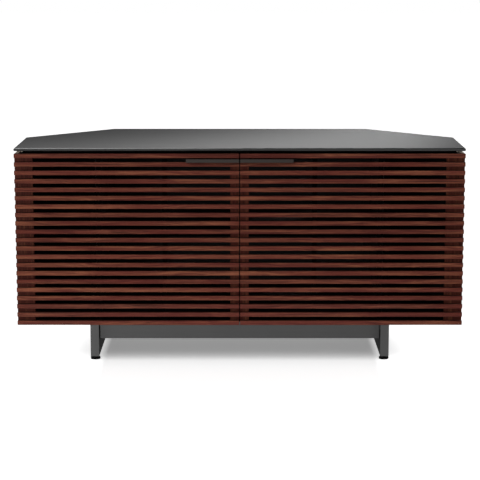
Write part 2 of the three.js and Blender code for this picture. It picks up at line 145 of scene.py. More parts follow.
def result_of(tree, kind, inputs=None, **options):
    return make(tree, kind, inputs, **options).outputs[0]


def calc(tree, operation, first, second=0.0):
    return result_of(tree, "ShaderNodeMath", {0: first, 1: second}, operation=operation)


print("node helpers: make, result_of and calc")


# %% Vectors and ranges
def vector_of(tree, **parts):
    return result_of(tree, "ShaderNodeCombineXYZ", parts)


def vector_sum(tree, first, second):
    return result_of(tree, "ShaderNodeVectorMath", {0: first, 1: second}, operation="ADD")


def scaled(tree, vector, factor):
    return result_of(tree, "ShaderNodeVectorMath", {0: vector, 3: factor}, operation="SCALE")


def parts_of(tree, vector):
    return make(tree, "ShaderNodeSeparateXYZ", {0: vector}).outputs


def object_place(tree):
    return make(tree, "ShaderNodeTexCoord").outputs["Object"]


def remap(tree, value, from_low, from_high, to_low, to_high):
    limits = {
        "Value": value,
        "From Min": from_low,
        "From Max": from_high,
        "To Min": to_low,
        "To Max": to_high,
    }
    return result_of(tree, "ShaderNodeMapRange", limits)


print("helpers for vectors, places and ranges: done")


# %% [markdown]
# Shaders work with light itself, and it is hard to see a colour in its numbers. So colours are
# written as they look on a screen, from 0 to 255, and one function turns them round by the
# screen's own curve, which is straight near black and a power above it.

# %% Colour helpers
FULL_TONE = 255
STRAIGHT_END, STRAIGHT_SLOPE = 0.04045, 12.92
CURVE_OFFSET, CURVE_POWER = 0.055, 2.4


def linear(tone):
    share = tone / FULL_TONE
    if share <= STRAIGHT_END:
        return share / STRAIGHT_SLOPE
    return ((share + CURVE_OFFSET) / (1 + CURVE_OFFSET)) ** CURVE_POWER


def srgb(red, green, blue):
    return (linear(red), linear(green), linear(blue), 1.0)


def ramp(tree, value, stops):
    node = make(tree, "ShaderNodeValToRGB", {"Fac": value})
    elements = node.color_ramp.elements
    for place, colour in stops[1:-1]:
        elements.new(place)
    for element, (place, colour) in zip(elements, stops):
        element.position = place
        element.color = colour
    return node.outputs["Color"]


print("half way up the screen's scale is", round(linear(FULL_TONE / 2), 3), "of white")


# %% [markdown]
# ## Studio
# The photograph was taken on a seamless white sweep. A picture of a studio round the scene
# could light it all at once, but lamps can be aimed, and each can be told what it lights. The
# dome gives a soft even light, a large panel in front on the left is the key, and a weaker one
# on the right fills. A narrow strip over the back of the top draws the glow across the etched
# glass, and panels at both ends and behind light the sides. The slats and the glass get panels
# of their own later on, beside the pieces that they light. The white of the ground comes from
# the colour of floor and dome in camera rays, never from stronger lamps.

# %% World
DOME_STRENGTH = 0.25
CEILING_IN_GLOSS = 0.05
BACKDROP_TOP = 0.05
CEILING_START = 0.15
WHITE = (1.0, 1.0, 1.0, 1.0)


def shown_rays(tree):
    rays = make(tree, "ShaderNodeLightPath").outputs
    clear = calc(tree, "MAXIMUM", rays["Is Camera Ray"], rays["Is Transmission Ray"])
    return clear, calc(tree, "MAXIMUM", clear, rays["Is Glossy Ray"])


# The backdrop is white all round up to a low height; in reflections a dark ceiling is over it
def build_world():
    world = bpy.data.worlds.new("studio_dome")
    bpy.context.scene.world = world
    world.use_nodes = True
    tree = world.node_tree
    tree.nodes.clear()
    clear, shown = shown_rays(tree)
    upward = parts_of(tree, object_place(tree))["Z"]
    strength = remap(tree, upward, BACKDROP_TOP, CEILING_START, 1.0, CEILING_IN_GLOSS)
    strength = calc(tree, "MAXIMUM", strength, clear)
    dome = result_of(tree, "ShaderNodeBackground", {"Color": WHITE, "Strength": DOME_STRENGTH})
    backdrop = result_of(tree, "ShaderNodeBackground", {"Color": WHITE, "Strength": strength})
    mixed = result_of(tree, "ShaderNodeMixShader", {0: shown, 1: dome, 2: backdrop})
    make(tree, "ShaderNodeOutputWorld", {"Surface": mixed})
    return world


world = build_world()
print("world:", world.name)


# %% [markdown]
# A sweep of paper curves up behind the piece. Here the dome is as white as the ground, so one
# large flat sheet does. It is plain grey to the light, and throws little of it back. The camera
# sees it brighter and with a glow of its own: thin between the legs, where the shadow lies, and
# full where the cabinet hangs out beyond them, where this painted light covers the cabinet's
# shadow. Beside each foot the painted light comes in slowly and leaves a faint painted shade.

# %% Where the floor's painted light is full
FLOOR_HAZE = 0.26
OVERHANG_PAINTED_LIGHT = 1.0
OVERHANG_FADE = 0.2
LEG_GLOW = 0.02
FOOT_SHADE_SHARE = 0.6
FOOT_SHADE_REACH = 0.08


# Share of painted light on the floor: full under the overhang, dipping beside each foot into
# painted shade
def painted_light_share(tree):
    place = parts_of(tree, object_place(tree))
    across = calc(tree, "ABSOLUTE", place["X"])
    along = calc(tree, "ABSOLUTE", place["Y"])
    leg_low, leg_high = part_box("right_leg_frame")
    past_leg = remap(tree, across, leg_low.x - LEG_GLOW, leg_high.x + LEG_GLOW / 2, 0.0, 1.0)
    foot_shade_end = leg_high.x + FOOT_SHADE_REACH
    beside_foot = remap(tree, across, leg_high.x, foot_shade_end, FOOT_SHADE_SHARE, 1.0)
    past_leg = calc(tree, "MINIMUM", past_leg, beside_foot)
    within_side = remap(tree, across, cad_high.x, cad_high.x + OVERHANG_FADE, 1.0, 0.0)
    fade_start = cad_high.y + OVERHANG_FADE
    within_depth = remap(tree, along, fade_start, fade_start + OVERHANG_FADE, 1.0, 0.0)
    return calc(tree, "MULTIPLY", calc(tree, "MULTIPLY", past_leg, within_side), within_depth)


print("haze from", FLOOR_HAZE, "to", OVERHANG_PAINTED_LIGHT)

# %% Floor
FLOOR_HALF = 30.0
FLOOR_COLOUR = (0.5, 0.5, 0.5, 1.0)
SEEN_FLOOR_COLOUR = (1.5, 1.5, 1.5, 1.0)
CORNERS = [(-1, -1), (1, -1), (1, 1), (-1, 1)]


def white_sweep():
    material = bpy.data.materials.new("white_sweep")
    material.use_nodes = True
    tree = material.node_tree
    tree.nodes.clear()
    plain = result_of(tree, "ShaderNodeBsdfDiffuse", {"Color": FLOOR_COLOUR})
    lit = result_of(tree, "ShaderNodeBsdfDiffuse", {"Color": SEEN_FLOOR_COLOUR})
    # The floor glows in camera rays: evenly, and up to full painted light under the overhang
    strength = remap(tree, painted_light_share(tree), 0.0, 1.0, FLOOR_HAZE, OVERHANG_PAINTED_LIGHT)
    floor_glow = result_of(tree, "ShaderNodeEmission", {"Color": WHITE, "Strength": strength})
    seen = result_of(tree, "ShaderNodeAddShader", {0: lit, 1: floor_glow})
    shown = shown_rays(tree)[1]
    mixed = result_of(tree, "ShaderNodeMixShader", {0: shown, 1: plain, 2: seen})
    make(tree, "ShaderNodeOutputMaterial", {"Surface": mixed})
    return material


def build_floor():
    mesh = bpy.data.meshes.new("floor")
    points = [(x * FLOOR_HALF, y * FLOOR_HALF, 0) for x, y in CORNERS]
    mesh.from_pydata(points, [], [range(len(points))])
    floor = bpy.data.objects.new("floor", mesh)
    bpy.context.scene.collection.objects.link(floor)
    mesh.materials.append(white_sweep())
    return floor


floor = build_floor()
print("floor:", 2 * FLOOR_HALF, "m square")


# %% [markdown]
# On the floor every panel would throw a shadow of its own. So the panels light the cabinet and
# leave the floor out, as a retoucher's layers do. The floor has the dome and a soft sun, high in
# front, which draws one even shadow between the legs. The leg loops don't shade the beam from
# the panels.

# %% Lamp helpers
def link_group(name, pieces, state):
    group = bpy.data.collections.get(name) or bpy.data.collections.new(name)
    for piece in pieces:
        group.objects.link(piece)
    for member in group.collection_objects:
        member.light_linking.link_state = state
    return group


no_floor = link_group("all_but_the_floor", [floor], "EXCLUDE")
floor_alone = link_group("the_floor_alone", [floor], "INCLUDE")
leg_frames = [frame["nodes"][f"{side}_leg_frame"] for side in OUTWARD]
no_legs = link_group("all_but_the_legs", leg_frames, "EXCLUDE")
print("light groups:", [group.name for group in bpy.data.collections])


def softbox(name, target, place, size, power, roll=0.0, lights=no_floor):
    data = bpy.data.lights.new(name, "AREA")
    data.shape = "RECTANGLE"
    data.size, data.size_y = size
    data.energy = power
    lamp = bpy.data.objects.new(name, data)
    lamp.location = place
    direction = Vector(target) - Vector(place)
    turn = direction.to_track_quat("-Z", "Y") @ Quaternion((0, 0, 1), roll)
    lamp.rotation_euler = turn.to_euler()
    lamp.visible_camera = False
    lamp.light_linking.receiver_collection = lights
    lamp.light_linking.blocker_collection = no_legs
    bpy.context.scene.collection.objects.link(lamp)


def floor_sun(strength, elevation, softness):
    data = bpy.data.lights.new("floor_sun", "SUN")
    data.energy = strength
    data.angle = softness
    sun = bpy.data.objects.new("floor_sun", data)
    sun.rotation_euler = (QUARTER_TURN - elevation, 0, 0)
    sun.light_linking.receiver_collection = floor_alone
    bpy.context.scene.collection.objects.link(sun)


# %% Lamps
DOOR_HEART = (0.0, doors_front, 0.42)
TOP_HEART = (0.1, 0.0, glass_high.z)
SIDE_HEART = Vector((0.7, 0.0, 0.6))
BACK_HEART = (0.0, 0.3, 0.45)
KEY = {"place": (-1.85, -3.6, 0.55), "size": (2.0, 0.9), "power": 72}
FILL = {"place": (1.8, -3.8, 0.6), "size": (1.6, 0.9), "power": 3}
GLASS_STRIP = {"place": (-0.185, 0.52, 1.38), "size": (2.6, 0.1), "power": 16.3}
STRIP_ROLL = math.radians(13)
SIDE_PLACE = Vector((2.6, -0.3, 1.5))
SIDE_STRIP = {"size": (1.6, 0.6), "power": 24}
REAR = {"place": (0.9, 3.4, 1.5), "size": (2.4, 1.2), "power": 30}
SUN = {"strength": 1.44, "elevation": math.radians(45), "softness": math.radians(30)}
OFF_THE_KEY = "all_but_floor_slats_and_glass"

off_the_key = link_group(OFF_THE_KEY, [floor], "EXCLUDE")
softbox("key_panel", DOOR_HEART, **KEY, lights=off_the_key)
softbox("fill_panel", DOOR_HEART, **FILL)
softbox("glass_strip", TOP_HEART, **GLASS_STRIP, roll=STRIP_ROLL)
floor_sun(**SUN)
for side, outward in OUTWARD.items():
    mirror = Vector((outward, 1, 1))
    softbox(f"{side}_strip", SIDE_HEART * mirror, SIDE_PLACE * mirror, **SIDE_STRIP)
outside = ["back_panel", "riser_board", "rear_beam"]
for side in OUTWARD:
    outside += [f"{side}_{piece}" for piece in ("diagonal_back", "side_panel", "leg_frame")]
outside_nodes = [frame["nodes"][name] for name in outside]
outside_alone = link_group("outside_faces", outside_nodes, "INCLUDE")
softbox("rear_panel", BACK_HEART, **REAR, lights=outside_alone)


# %% [markdown]
# ## Stained walnut
# Veneer shows streaks that run with the grain, slower bands of colour, and short dark pores. A
# picture of veneer could be laid on each face, but it would repeat from slat to slat and break
# at the edges. Noise runs through a piece as grain does. It is stretched along the grain, so one
# function serves slats, stiles and side panels and only turns the pattern. A slow wave bends
# the lines, so that they cross a slat at small angles.

# %% Walnut values
WALNUT_DARK = srgb(50, 23, 17)
WALNUT_MIDDLE = srgb(97, 51, 39)
WALNUT_LIGHT = srgb(135, 80, 58)
WALNUT_REDDER = srgb(97, 41, 35)
WALNUT_STOPS = [(0.38, WALNUT_DARK), (0.5, WALNUT_MIDDLE), (0.64, WALNUT_LIGHT)]
WALNUT_SPECULAR = 0.09
WALNUT_SMOOTH, WALNUT_ROUGH = 0.46, 0.58
GRAIN_TURNS = {"X": (0, 0, 0), "Y": (0, 0, QUARTER_TURN), "Z": (0, QUARTER_TURN, 0)}
STREAKS = {"per_metre": (7.0, 250.0, 250.0), "detail": 4.0, "distortion": 0.8}
BANDS = {"per_metre": (2.8, 60.0, 60.0), "detail": 2.0, "distortion": 0.3}
FIBRES = {"per_metre": (45.0, 1400.0, 1400.0), "detail": 2.0}
PORES = {"per_metre": (130.0, 1100.0, 1100.0), "detail": 1.0}
WAVES = {"per_metre": (3.2, 7.0, 7.0), "detail": 1.0}
WAVE_REACH = 0.028
STREAK_SHARE, BAND_SHARE, FIBRE_SHARE = 0.55, 0.3, 0.15
RED_BAND, PLAIN_BAND, MOST_RED = 0.4, 0.6, 0.55
PORE_START, PORE_END, PORE_SHADE = 0.62, 0.7, 0.72
NOISE_LOW, NOISE_MIDDLE, NOISE_HIGH = 0.3, 0.5, 0.7
FIBRE_BUMP = 0.05 * MM
FIBRE_BUMP_STRENGTH = 0.6
print("walnut from", WALNUT_DARK[:3], "to", WALNUT_LIGHT[:3])


# %% Grain helpers
def new_material(name):
    material = bpy.data.materials.new(name)
    material.use_nodes = True
    tree = material.node_tree
    tree.nodes.clear()
    shader = make(tree, "ShaderNodeBsdfPrincipled")
    make(tree, "ShaderNodeOutputMaterial", {"Surface": shader.outputs[0]})
    return material, tree, shader


def grain_noise(tree, place, per_metre, detail, distortion=0.0):
    stretched = result_of(tree, "ShaderNodeMapping", {"Vector": place, "Scale": per_metre})
    inputs = {"Vector": stretched, "Scale": 1.0, "Detail": detail, "Distortion": distortion}
    return make(tree, "ShaderNodeTexNoise", inputs).outputs["Fac"]


def along_the_grain(tree, straight, grain):
    turn = {"Vector": straight, "Rotation": GRAIN_TURNS[grain]}
    place = result_of(tree, "ShaderNodeMapping", turn)
    wave = calc(tree, "SUBTRACT", grain_noise(tree, place, **WAVES), NOISE_MIDDLE)
    wave = calc(tree, "MULTIPLY", wave, WAVE_REACH)
    return vector_sum(tree, place, vector_of(tree, Y=wave, Z=wave))


print("the grain sways by up to", round(WAVE_REACH / 2 / MM), "mm")


# %% [markdown]
# Each slat is cut from another strip of veneer. A material for each would be a long row of near
# copies, so a slat carries a shift and a tone of its own as attributes, and one shader reads
# them. The upper and lower faces of the slats are darkened: painted shade for the shade that
# falls between the slats. The top of the first slat has no slat over it and gets less painted
# shade.

# %% What differs from slat to slat
# Painted shade on the slats' upper and lower faces, and less of it on the first slat's top
SLAT_FACE_PAINTED_SHADE = 0.22
SHADE_FROM_TILT, SHADE_FULL_TILT = 0.4, 0.9
FIRST_TOP_PAINTED_LIGHT = 0.6
OPEN_TOP = door_box("left", "top_rail")[1].z - MM


def slat_attribute(tree, name, output):
    return make(tree, "ShaderNodeAttribute", attribute_name=name).outputs[output]


# Painted shade: faces that look up or down are darkened, the first slat's top less so
def slat_painted_shade(tree, straight):
    normal = make(tree, "ShaderNodeNewGeometry").outputs["Normal"]
    level = calc(tree, "ABSOLUTE", parts_of(tree, normal)["Z"])
    face_level = remap(tree, level, SHADE_FROM_TILT, SHADE_FULL_TILT, 1.0, SLAT_FACE_PAINTED_SHADE)
    height = parts_of(tree, straight)["Z"]
    is_open = calc(tree, "GREATER_THAN", height, OPEN_TOP)
    return calc(tree, "MAXIMUM", face_level, calc(tree, "MULTIPLY", is_open, FIRST_TOP_PAINTED_LIGHT))


print("the first slat's top lies above", round(OPEN_TOP, 4), "m")


# %% [markdown]
# The tone of a point is the sum of streaks, bands and fibres. Two mixed colours could be driven
# by it, but a colour ramp also sets the middle tone, which covers most of the wood. Some bands
# are redder, and pores darken what lies under them.

# %% Walnut
def stained(tree, streaks, bands, fibres, own_tone=None):
    tone = calc(tree, "MULTIPLY", streaks, STREAK_SHARE)
    tone = calc(tree, "ADD", tone, calc(tree, "MULTIPLY", bands, BAND_SHARE))
    tone = calc(tree, "ADD", tone, calc(tree, "MULTIPLY", fibres, FIBRE_SHARE))
    if own_tone is not None:
        tone = calc(tree, "ADD", tone, own_tone)
    colour = ramp(tree, tone, WALNUT_STOPS)
    redness = remap(tree, bands, RED_BAND, PLAIN_BAND, MOST_RED, 0.0)
    # A Mix node's colours go in at sockets 6 and 7 and come out at 2
    mix = {"Factor": redness, 6: colour, 7: WALNUT_REDDER}
    return make(tree, "ShaderNodeMix", mix, data_type="RGBA").outputs[2]


# A depth below 1 darkens the whole piece: painted shade for pieces behind the slats
def walnut(name, grain, on_slats=False, depth=1.0, specular=WALNUT_SPECULAR):
    material, tree, shader = new_material(name)
    straight = object_place(tree)
    place = along_the_grain(tree, straight, grain)
    own_tone = None
    if on_slats:
        place = vector_sum(tree, place, slat_attribute(tree, "slat_shift", "Vector"))
        own_tone = slat_attribute(tree, "slat_tone", "Fac")
    streaks, bands, fibres, pores = [
        grain_noise(tree, place, **noise) for noise in (STREAKS, BANDS, FIBRES, PORES)
    ]
    pore_mask = remap(tree, pores, PORE_START, PORE_END, 1.0, PORE_SHADE)
    shade = calc(tree, "MULTIPLY", pore_mask, depth)
    if on_slats:
        shade = calc(tree, "MULTIPLY", shade, slat_painted_shade(tree, straight))
    colour = scaled(tree, stained(tree, streaks, bands, fibres, own_tone), shade)
    rough = remap(tree, fibres, NOISE_LOW, NOISE_HIGH, WALNUT_SMOOTH, WALNUT_ROUGH)
    relief = calc(tree, "MULTIPLY", fibres, pore_mask)
    bump = {"Height": relief, "Distance": FIBRE_BUMP, "Strength": FIBRE_BUMP_STRENGTH}
    tree.links.new(colour, shader.inputs["Base Color"])
    tree.links.new(rough, shader.inputs["Roughness"])
    tree.links.new(result_of(tree, "ShaderNodeBump", bump), shader.inputs["Normal"])
    shader.inputs["Specular IOR Level"].default_value = specular
    return material


SLAT_WALNUT = walnut("slat_walnut", "X", on_slats=True)
# Stiles and rail backs stand behind the slats, so their walnut is darkened as painted shade
STILE_WALNUT_PAINTED_SHADE = walnut("stile_walnut_painted_shade", "Z", depth=0.45, specular=0.03)
RAIL_WALNUT_PAINTED_SHADE = walnut("rail_walnut_painted_shade", "X", depth=0.8)
SIDE_WALNUT = walnut("side_panel_walnut", "Y")
walnuts = (SLAT_WALNUT, STILE_WALNUT_PAINTED_SHADE, RAIL_WALNUT_PAINTED_SHADE, SIDE_WALNUT)
print("walnut materials:", [material.name for material in walnuts])


# %% [markdown]
# ## Glass, laminate, metal and rubber
# The top is black glass whose face is etched to a fine frost, so it glows softly instead of
# mirroring, while its edge is polished. The boards are black laminate; inside it is darker and
# duller, as painted shade, and the boards' narrow front edges are dead black, painted shade that
# keeps them out of sight between the slats. The base and the pulls are powder coated, which
# leaves a fine orange peel. The pivots are yellow zinc, the other fittings plain zinc or
# blackened. Plain colours would do from afar, but from close by they look like plastic. So one
# function gives each finish its colour, its roughness, and how fine and how high its grain is.

# %% Finish helper
SPECKLE_DETAIL = 3.0
CLOUD = {"per_metre": (6.0, 6.0, 6.0), "detail": 2.0}
CLOUD_LOW, CLOUD_HIGH = 0.7, 1.3
TINT_LOW, TINT_HIGH = 0.92, 1.08
ROUGH_SPREAD = 0.05
SPECKLE_BUMP_STRENGTH = 0.5


def speckled(name, colour, rough, per_metre, relief, metallic=0.0, specular=0.5):
    material, tree, shader = new_material(name)
    place = object_place(tree)
    grain = grain_noise(tree, place, (per_metre,) * 3, SPECKLE_DETAIL)
    cloud = calc(tree, "ADD", grain, grain_noise(tree, place, **CLOUD))
    tint = remap(tree, cloud, CLOUD_LOW, CLOUD_HIGH, TINT_LOW, TINT_HIGH)
    smoother, rougher = rough - ROUGH_SPREAD, rough + ROUGH_SPREAD
    roughness = remap(tree, grain, NOISE_LOW, NOISE_HIGH, smoother, rougher)
    bump = {"Height": grain, "Distance": relief, "Strength": SPECKLE_BUMP_STRENGTH}
    tree.links.new(scaled(tree, colour[:3], tint), shader.inputs["Base Color"])
    tree.links.new(roughness, shader.inputs["Roughness"])
    tree.links.new(result_of(tree, "ShaderNodeBump", bump), shader.inputs["Normal"])
    shader.inputs["Metallic"].default_value = metallic
    shader.inputs["Specular IOR Level"].default_value = specular
    return material


print("tints run from", TINT_LOW, "to", TINT_HIGH)

# %% Glass and boards
# In each line: colour, roughness, grains to the metre, and how high they stand
# Inside, the black laminate is darker and duller than outside: painted shade
LAMINATE = speckled("black_laminate", srgb(20, 20, 20), 0.6, 900, 0.04 * MM, specular=0.1)
BACK_LAMINATE = speckled("black_laminate_outside", srgb(27, 27, 28), 0.5, 900, 0.04 * MM)
# Dead black: the battens' own paint, and painted shade on board front edges and rail tops
BLACK_BATTEN_AND_PAINTED_SHADE = speckled("batten_black_and_painted_shade", srgb(4, 4, 4), 0.7, 700, 0.04 * MM, specular=0.0)
# Painted light: the bare board edge under the glass is near white
BOARD_EDGE_PAINTED_LIGHT = speckled("bare_board_edge_painted_light", srgb(232, 216, 198), 0.7, 500, 0.08 * MM)
ETCHED = speckled("etched_glass_face", srgb(14, 14, 14), 0.58, 2600, 0.008 * MM)
FRONT_EDGE = speckled("glass_front_edge", srgb(12, 12, 12), 0.25, 900, 0.004 * MM)
# Painted highlight: the front bevel is paler than the glass's other bevels
FRONT_BEVEL_PAINTED_HIGHLIGHT = speckled("glass_front_bevel_painted_highlight", srgb(45, 46, 46), 0.3, 900, 0.004 * MM)
DARK_GLASS = speckled(
    "polished_black_glass", srgb(14, 14, 15), 0.3, 900, 0.004 * MM, specular=0.15
)
print("materials:", len(bpy.data.materials))

# %% Steel and rubber
POWDER = speckled("grey_powder_coat", srgb(73, 73, 73), 0.5, 1500, 0.06 * MM, specular=0.4)
# Painted shade: near black for the leg loops' inner faces, which face each other under the
# cabinet
LOOP_PAINTED_SHADE = speckled(
    "painted_shade_inside_the_loops", srgb(13, 13, 13), 0.6, 1500, 0.06 * MM, specular=0.05
)
PULL_POWDER = speckled(
    "pull_powder_coat", srgb(43, 36, 32), 0.5, 1500, 0.05 * MM, specular=0.2
)
ZINC = speckled("zinc_plate", srgb(168, 168, 166), 0.34, 700, 0.02 * MM, metallic=1.0)
BLACK_ZINC = speckled("blackened_screw", srgb(70, 70, 72), 0.35, 900, 0.02 * MM, metallic=0.9)
YELLOW_ZINC = speckled(
    "yellow_zinc_plate", srgb(214, 194, 172), 0.45, 700, 0.02 * MM, metallic=0.6
)
RUBBER = speckled("foot_rubber", srgb(9, 9, 9), 0.5, 1200, 0.05 * MM, specular=0.06)
print("materials:", len(bpy.data.materials))


# %% [markdown]
# ## Eased edges on the fixed boards
# No sawn board or folded sheet has a knife edge: a sandpaper pass or a coat of powder rounds it
# by a few tenths, and that thin line is what catches the light. A Bevel node in the material
# could feign it, but the outline would stay sharp. The fixed meshes are left as they are:
# modifiers weld their loose triangles, melt the flat ones together, round the corners and weigh
# the normals so that the wide faces stay flat.

# %% Edge helper
ROUND_LIMIT = math.radians(35)
FLAT_LIMIT = math.radians(1)
WELD_REACH = 0.01 * MM
EDGE_SEGMENTS = 2


def weigh_normals(piece):
    piece.data.polygons.foreach_set("use_smooth", [True] * len(piece.data.polygons))
    weighted = piece.modifiers.new("even_shading", "WEIGHTED_NORMAL")
    weighted.keep_sharp = True


def ease(piece, width, segments):
    weld = piece.modifiers.new("weld", "WELD")
    weld.merge_threshold = WELD_REACH
    flat = piece.modifiers.new("flatten", "DECIMATE")
    flat.decimate_type = "DISSOLVE"
    flat.angle_limit = FLAT_LIMIT
    flat.delimit = {"MATERIAL"}
    bevel = piece.modifiers.new("eased_edges", "BEVEL")
    bevel.width = width
    bevel.segments = segments
    bevel.limit_method = "ANGLE"
    bevel.angle_limit = ROUND_LIMIT
    weigh_normals(piece)


def finish_node(name, material, width, segments=EDGE_SEGMENTS):
    node = frame["nodes"][name]
    node.data.materials.clear()
    node.data.materials.append(material)
    ease(node, width, segments)
    return node


print("corners over", round(math.degrees(ROUND_LIMIT)), "degrees get rounded")


# %% [markdown]
# Many boards have two finishes. Such a board could be made as two pieces, but each of its faces
# knows which way it looks, so a short test finds the ones that take the second finish.

# %% Second finish
FACING_SHARE = 0.5


def second_finish(piece, material, chosen):
    piece.data.materials.append(material)
    faces = [face for face in piece.data.polygons if chosen(face.normal)]
    for face in faces:
        face.material_index = len(piece.data.materials) - 1
    print(piece.name, len(faces), "of", len(piece.data.polygons), "faces in", material.name)


# %% Inside boards
LAMINATE_EASE = 0.5 * MM
WIDE_BOARDS = ("top_panel", "bottom_panel", "riser_board", "centre_shelf")
SIDE_BOARDS = [f"{side}_{piece}" for side in OUTWARD for piece in ("partition", "shelf")]
BACK_WALLS = ("back_panel", "left_diagonal_back", "right_diagonal_back")
for name in (*WIDE_BOARDS, *SIDE_BOARDS, *BACK_WALLS):
    finish_node(name, LAMINATE, LAMINATE_EASE)
# Painted shade: the boards' front edges are dead black, out of sight between the slats
for name in (*WIDE_BOARDS, *SIDE_BOARDS):
    second_finish(frame["nodes"][name], BLACK_BATTEN_AND_PAINTED_SHADE, lambda normal: normal.y < -FACING_SHARE)
for name in BACK_WALLS:
    second_finish(frame["nodes"][name], BACK_LAMINATE, lambda normal: normal.y > FACING_SHARE)

# %% [markdown]
# The side panels are walnut where they show and black inside. Their upper edge, under the glass,
# is bare board, painted near white: painted light for the light that comes in under the glass.

# %% Side panels
VENEER_EASE = 0.8 * MM
for side, outward in OUTWARD.items():
    panel = finish_node(f"{side}_side_panel", SIDE_WALNUT, VENEER_EASE)
    second_finish(
        panel,
        LAMINATE,
        lambda normal: normal.x * outward < -FACING_SHARE or normal.z < -FACING_SHARE,
    )
    second_finish(panel, BOARD_EDGE_PAINTED_LIGHT, lambda normal: normal.z > FACING_SHARE)

# %% [markdown]
# The glass is etched on its upper face only. Its underside, edge and bevel are polished and
# dark. It could be clear with a black coat under it, but the frost hides all of that depth. In
# front the bevel is paler, a painted highlight, and the thin edge under it is smooth enough to
# mirror the white floor. A panel right above them shines in the left half of the bevel.

# %% Glass top
GLASS_ARRIS = 0.35 * MM
DOORS_FOOT = Vector((0, doors_front, 0))
LEFT_BEVEL = (-0.95, doors_front, glass_high.z)
OVER_BEVEL = {"place": DOORS_FOOT + Vector((-0.95, -0.15, 2.0)), "size": (1.8, 0.5), "power": 19}

glass = finish_node("glass_top", ETCHED, GLASS_ARRIS)
second_finish(glass, DARK_GLASS, lambda normal: normal.z < math.cos(ROUND_LIMIT))
# Painted highlight on the front bevel
second_finish(glass, FRONT_BEVEL_PAINTED_HIGHLIGHT, lambda normal: normal.y < -FACING_SHARE)
second_finish(glass, FRONT_EDGE, lambda normal: normal.y < -math.cos(ROUND_LIMIT))
glass_alone = link_group("the_glass_alone", [glass], "INCLUDE")
softbox("bevel_panel", LEFT_BEVEL, **OVER_BEVEL, lights=glass_alone)
link_group(OFF_THE_KEY, [glass], "EXCLUDE")
print("glass:", [round(v / MM, 1) for v in glass_high - glass_low], "mm")


# %% [markdown]
# ## Slats
# Every slat is the same bar, 27 mm below the one above. An Array modifier could stack them, but
# all of its copies would have the same grain. A geometry tree makes the bar once, from a rounded
# rectangle swept along a short path whose ends are drawn in a little, and sets copies on a line
# of points. Each copy stores its own veneer shift and tone before the copies become one mesh.
# Both doors use the same seed, so the figure runs on across the middle, as on the real doors,
# which are cut from one sheet.

# %% Tree helpers
def new_tree(name, sockets):
    tree = bpy.data.node_groups.new(name, "GeometryNodeTree")
    tree.interface.new_socket("Geometry", in_out="OUTPUT", socket_type="NodeSocketGeometry")
    for label, kind in sockets.items():
        tree.interface.new_socket(label, in_out="INPUT", socket_type=f"NodeSocket{kind}")
    entry = tree.nodes.new("NodeGroupInput")
    return tree, entry.outputs


# A Random Value node keeps its numbers at inputs 2 and 3 and output 1, its vectors at 0 and 1
def chance(tree, low, high, seed):
    kind = "FunctionNodeRandomValue"
    return make(tree, kind, {2: low, 3: high, "Seed": seed}, data_type="FLOAT").outputs[1]


def lifted(tree, geometry, height):
    moving = {"Geometry": geometry, "Translation": vector_of(tree, Z=height)}
    return result_of(tree, "GeometryNodeTransform", moving)


def on_points(tree, points, piece, **turning):
    setting = {"Points": points, "Instance": piece, **turning}
    return result_of(tree, "GeometryNodeInstanceOnPoints", setting)


def close_tree(tree, geometry, material):
    solid = result_of(tree, "GeometryNodeRealizeInstances", {"Geometry": geometry})
    painting = {"Geometry": solid, "Material": material}
    painted = result_of(tree, "GeometryNodeSetMaterial", painting)
    make(tree, "NodeGroupOutput", {"Geometry": painted})
    return tree


# The modifier's inputs are set before the object is first evaluated, by their identifiers
def run_tree(name, tree, values, points=()):
    scaffold = bpy.data.objects.new(name, bpy.data.meshes.new(name))
    scaffold.data.from_pydata(points, [], [])
    bpy.context.scene.collection.objects.link(scaffold)
    modifier = scaffold.modifiers.new("rule", "NODES")
    modifier.node_group = tree
    for item in tree.interface.items_tree:
        if item.in_out == "INPUT" and item.name in values:
            modifier[item.identifier] = values[item.name]
    ready = scaffold.evaluated_get(bpy.context.evaluated_depsgraph_get())
    mesh = bpy.data.meshes.new_from_object(ready)
    mesh.name = name
    scaffold.modifiers.clear()
    scaffold.data = mesh
    return scaffold


print("geometry trees so far:", len(bpy.data.node_groups))


# %% [markdown]
# The bar's path has four points: both ends, and a point one edge width inside each end. At the
# ends the outline is smaller by that width, which rounds them off.

# %% One bar
SLAT_EDGE_STEPS = 3
PATH_POINTS = 4
MIDDLE_INDEX = (PATH_POINTS - 1) / 2
INNER_INDEX = 0.5


